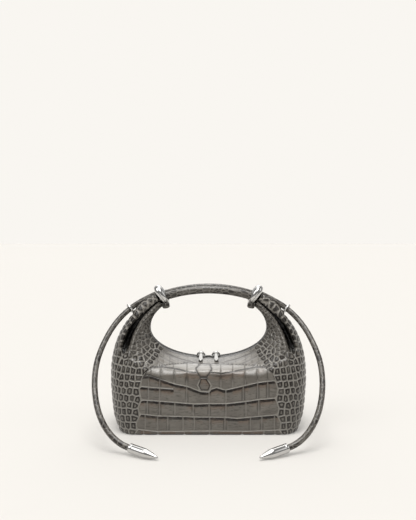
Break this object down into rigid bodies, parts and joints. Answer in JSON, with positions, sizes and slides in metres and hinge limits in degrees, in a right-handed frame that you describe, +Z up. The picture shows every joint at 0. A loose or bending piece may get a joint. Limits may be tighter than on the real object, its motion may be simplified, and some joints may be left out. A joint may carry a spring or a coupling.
{
  "type": "ring handle bag",
  "caption": "Soft boxed handbag in grey embossed leather with gathered horns, a ring-shaped hand opening, a round handle and a drawcord with metal tips.",
  "frame": {"origin": "centre of the flat foot, on the surface that the bag stands on", "axes": "+X along the bag's width, -Y towards the front, where the drawcord's tips lie, +Z up"},
  "size_m": [0.2468, 0.1672, 0.1599],
  "materials": {
    "leather": "glossy grey leather with an embossed reptile scale pattern and darker scale edges",
    "zip_tape": "dark woven tape",
    "polished_metal": "polished silver-coloured metal"
  },
  "bodies": {
    "bag": {"bag_shell": "leather", "zip_tape_front": "zip_tape", "zip_tape_back": "zip_tape", "handle_tube": "leather", "cord_top": "leather", "zip_chain_left": "polished_metal", "zip_chain_right": "polished_metal", "slider_left": "polished_metal", "slider_right": "polished_metal", "bead_left": "polished_metal", "bead_right": "polished_metal", "zip_tab_left": "leather", "zip_tab_right": "leather", "cord_left": "leather", "cord_right": "leather", "guide_ring_left": "polished_metal", "guide_ring_right": "polished_metal", "tip_left": "polished_metal", "tip_right": "polished_metal"},
    "pull_left": {"pull_left": "polished_metal"},
    "pull_right": {"pull_right": "polished_metal"}
  },
  "joints": [
    {"name": "pull_left_swing", "type": "hinge", "parent": "bag", "child": "pull_left", "pos_m": [-0.00851, 0, 0.08067], "axis": [-0.9984, 0, 0.0567], "range_deg": [0, 200]},
    {"name": "pull_right_swing", "type": "hinge", "parent": "bag", "child": "pull_right", "pos_m": [0.00851, 0, 0.08067], "axis": [-0.9984, 0, -0.0567], "range_deg": [0, 200]}
  ]
}
